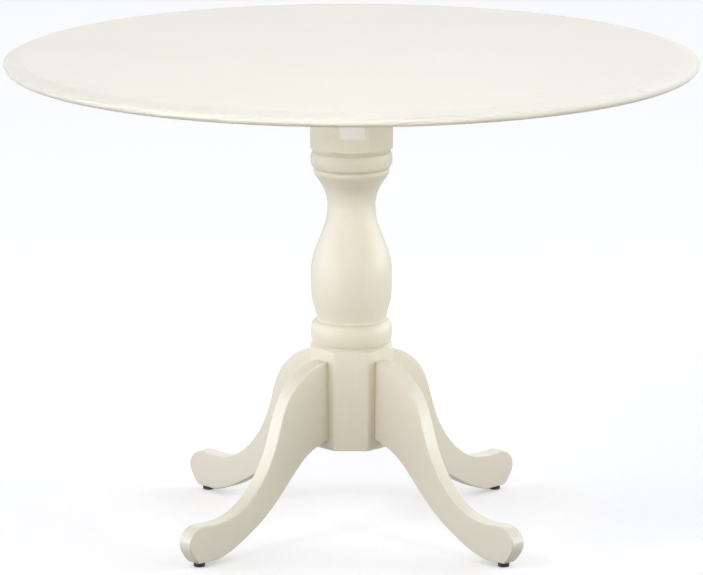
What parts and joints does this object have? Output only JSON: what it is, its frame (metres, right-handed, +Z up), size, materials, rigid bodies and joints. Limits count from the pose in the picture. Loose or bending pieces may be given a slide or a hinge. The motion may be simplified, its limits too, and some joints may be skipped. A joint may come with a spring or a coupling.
{
  "type": "drop-leaf pedestal table",
  "caption": "Round painted table with drop leaves on rule joints, held up by folding brackets, on a turned pedestal with S-curved legs.",
  "frame": {"origin": "on the floor, under the middle of the column", "axes": "+Z up; the leaves' seams run along X; -Y is the side in the picture's view"},
  "size_m": [1.0668, 1.0668, 0.7493],
  "materials": {
    "painted_wood": "satin off-white paint",
    "hinge_brass": "satin",
    "bracket_steel": "satin zinc plate",
    "fixing_zinc": "satin zinc plate",
    "glide_plastic": "moulded black"
  },
  "bodies": {
    "pedestal_frame": {"top_centre": "painted_wood", "pedestal_column": "painted_wood", "batten_lengthwise": "painted_wood", "batten_crosswise": "painted_wood", "top_bolt_front": "fixing_zinc", "top_bolt_rear": "fixing_zinc", "top_bolt_left": "fixing_zinc", "top_bolt_right": "fixing_zinc", "leg_front_left": "painted_wood", "glide_front_left": "glide_plastic", "leg_bolt_lower_front_left": "fixing_zinc", "leg_bolt_upper_front_left": "fixing_zinc", "hinge_fixed_front_left": "hinge_brass", "hinge_pin_front_left": "hinge_brass", "bracket_fixed_front_left": "bracket_steel", "leg_front_right": "painted_wood", "glide_front_right": "glide_plastic", "leg_bolt_lower_front_right": "fixing_zinc", "leg_bolt_upper_front_right": "fixing_zinc", "hinge_fixed_front_right": "hinge_brass", "hinge_pin_front_right": "hinge_brass", "bracket_fixed_front_right": "bracket_steel", "leg_rear_left": "painted_wood", "glide_rear_left": "glide_plastic", "leg_bolt_lower_rear_left": "fixing_zinc", "leg_bolt_upper_rear_left": "fixing_zinc", "hinge_fixed_rear_left": "hinge_brass", "hinge_pin_rear_left": "hinge_brass", "bracket_fixed_rear_left": "bracket_steel", "leg_rear_right": "painted_wood", "glide_rear_right": "glide_plastic", "leg_bolt_lower_rear_right": "fixing_zinc", "leg_bolt_upper_rear_right": "fixing_zinc", "hinge_fixed_rear_right": "hinge_brass", "hinge_pin_rear_right": "hinge_brass", "bracket_fixed_rear_right": "bracket_steel"},
    "leaf_front": {"leaf_front": "painted_wood", "hinge_moving_front_left": "hinge_brass", "bracket_leaf_front_left": "bracket_steel", "hinge_moving_front_right": "hinge_brass", "bracket_leaf_front_right": "bracket_steel"},
    "leaf_rear": {"leaf_rear": "painted_wood", "hinge_moving_rear_left": "hinge_brass", "bracket_leaf_rear_left": "bracket_steel", "hinge_moving_rear_right": "hinge_brass", "bracket_leaf_rear_right": "bracket_steel"},
    "arm_inner_front_left": {"arm_inner_front_left": "bracket_steel", "elbow_rivet_front_left": "fixing_zinc"},
    "arm_outer_front_left": {"arm_outer_front_left": "bracket_steel"},
    "arm_inner_front_right": {"arm_inner_front_right": "bracket_steel", "elbow_rivet_front_right": "fixing_zinc"},
    "arm_outer_front_right": {"arm_outer_front_right": "bracket_steel"},
    "arm_inner_rear_left": {"arm_inner_rear_left": "bracket_steel", "elbow_rivet_rear_left": "fixing_zinc"},
    "arm_outer_rear_left": {"arm_outer_rear_left": "bracket_steel"},
    "arm_inner_rear_right": {"arm_inner_rear_right": "bracket_steel", "elbow_rivet_rear_right": "fixing_zinc"},
    "arm_outer_rear_right": {"arm_outer_rear_right": "bracket_steel"}
  },
  "joints": [
    {"name": "leaf_front_fold", "type": "hinge", "parent": "pedestal_frame", "child": "leaf_front", "pos_m": [0, -0.3048, 0.7333], "axis": [1, 0, 0], "range_deg": [0, 90]},
    {"name": "arm_inner_front_left_turn", "type": "hinge", "parent": "pedestal_frame", "child": "arm_inner_front_left", "pos_m": [-0.178, -0.1748, 0.7198], "axis": [1, 0, 0], "range_deg": [0, 90]},
    {"name": "arm_outer_front_left_turn", "type": "hinge", "parent": "arm_inner_front_left", "child": "arm_outer_front_left", "pos_m": [-0.178, -0.2598, 0.7063], "axis": [1, 0, 0], "range_deg": [-90, 0]},
    {"name": "arm_inner_front_right_turn", "type": "hinge", "parent": "pedestal_frame", "child": "arm_inner_front_right", "pos_m": [0.178, -0.1748, 0.7198], "axis": [1, 0, 0], "range_deg": [0, 90]},
    {"name": "arm_outer_front_right_turn", "type": "hinge", "parent": "arm_inner_front_right", "child": "arm_outer_front_right", "pos_m": [0.178, -0.2598, 0.7063], "axis": [1, 0, 0], "range_deg": [-90, 0]},
    {"name": "leaf_rear_fold", "type": "hinge", "parent": "pedestal_frame", "child": "leaf_rear", "pos_m": [0, 0.3048, 0.7333], "axis": [-1, 0, 0], "range_deg": [0, 90]},
    {"name": "arm_inner_rear_left_turn", "type": "hinge", "parent": "pedestal_frame", "child": "arm_inner_rear_left", "pos_m": [-0.178, 0.1748, 0.7198], "axis": [-1, 0, 0], "range_deg": [0, 90]},
    {"name": "arm_outer_rear_left_turn", "type": "hinge", "parent": "arm_inner_rear_left", "child": "arm_outer_rear_left", "pos_m": [-0.178, 0.2598, 0.7063], "axis": [-1, 0, 0], "range_deg": [-90, 0]},
    {"name": "arm_inner_rear_right_turn", "type": "hinge", "parent": "pedestal_frame", "child": "arm_inner_rear_right", "pos_m": [0.178, 0.1748, 0.7198], "axis": [-1, 0, 0], "range_deg": [0, 90]},
    {"name": "arm_outer_rear_right_turn", "type": "hinge", "parent": "arm_inner_rear_right", "child": "arm_outer_rear_right", "pos_m": [0.178, 0.2598, 0.7063], "axis": [-1, 0, 0], "range_deg": [-90, 0]}
  ],
  "couplings": [
    {"joint": "arm_inner_front_left_turn", "follows": "leaf_front_fold", "ratio": 1},
    {"joint": "arm_outer_front_left_turn", "follows": "leaf_front_fold", "ratio": -1},
    {"joint": "arm_inner_front_right_turn", "follows": "leaf_front_fold", "ratio": 1},
    {"joint": "arm_outer_front_right_turn", "follows": "leaf_front_fold", "ratio": -1},
    {"joint": "arm_inner_rear_left_turn", "follows": "leaf_rear_fold", "ratio": 1},
    {"joint": "arm_outer_rear_left_turn", "follows": "leaf_rear_fold", "ratio": -1},
    {"joint": "arm_inner_rear_right_turn", "follows": "leaf_rear_fold", "ratio": 1},
    {"joint": "arm_outer_rear_right_turn", "follows": "leaf_rear_fold", "ratio": -1}
  ]
}
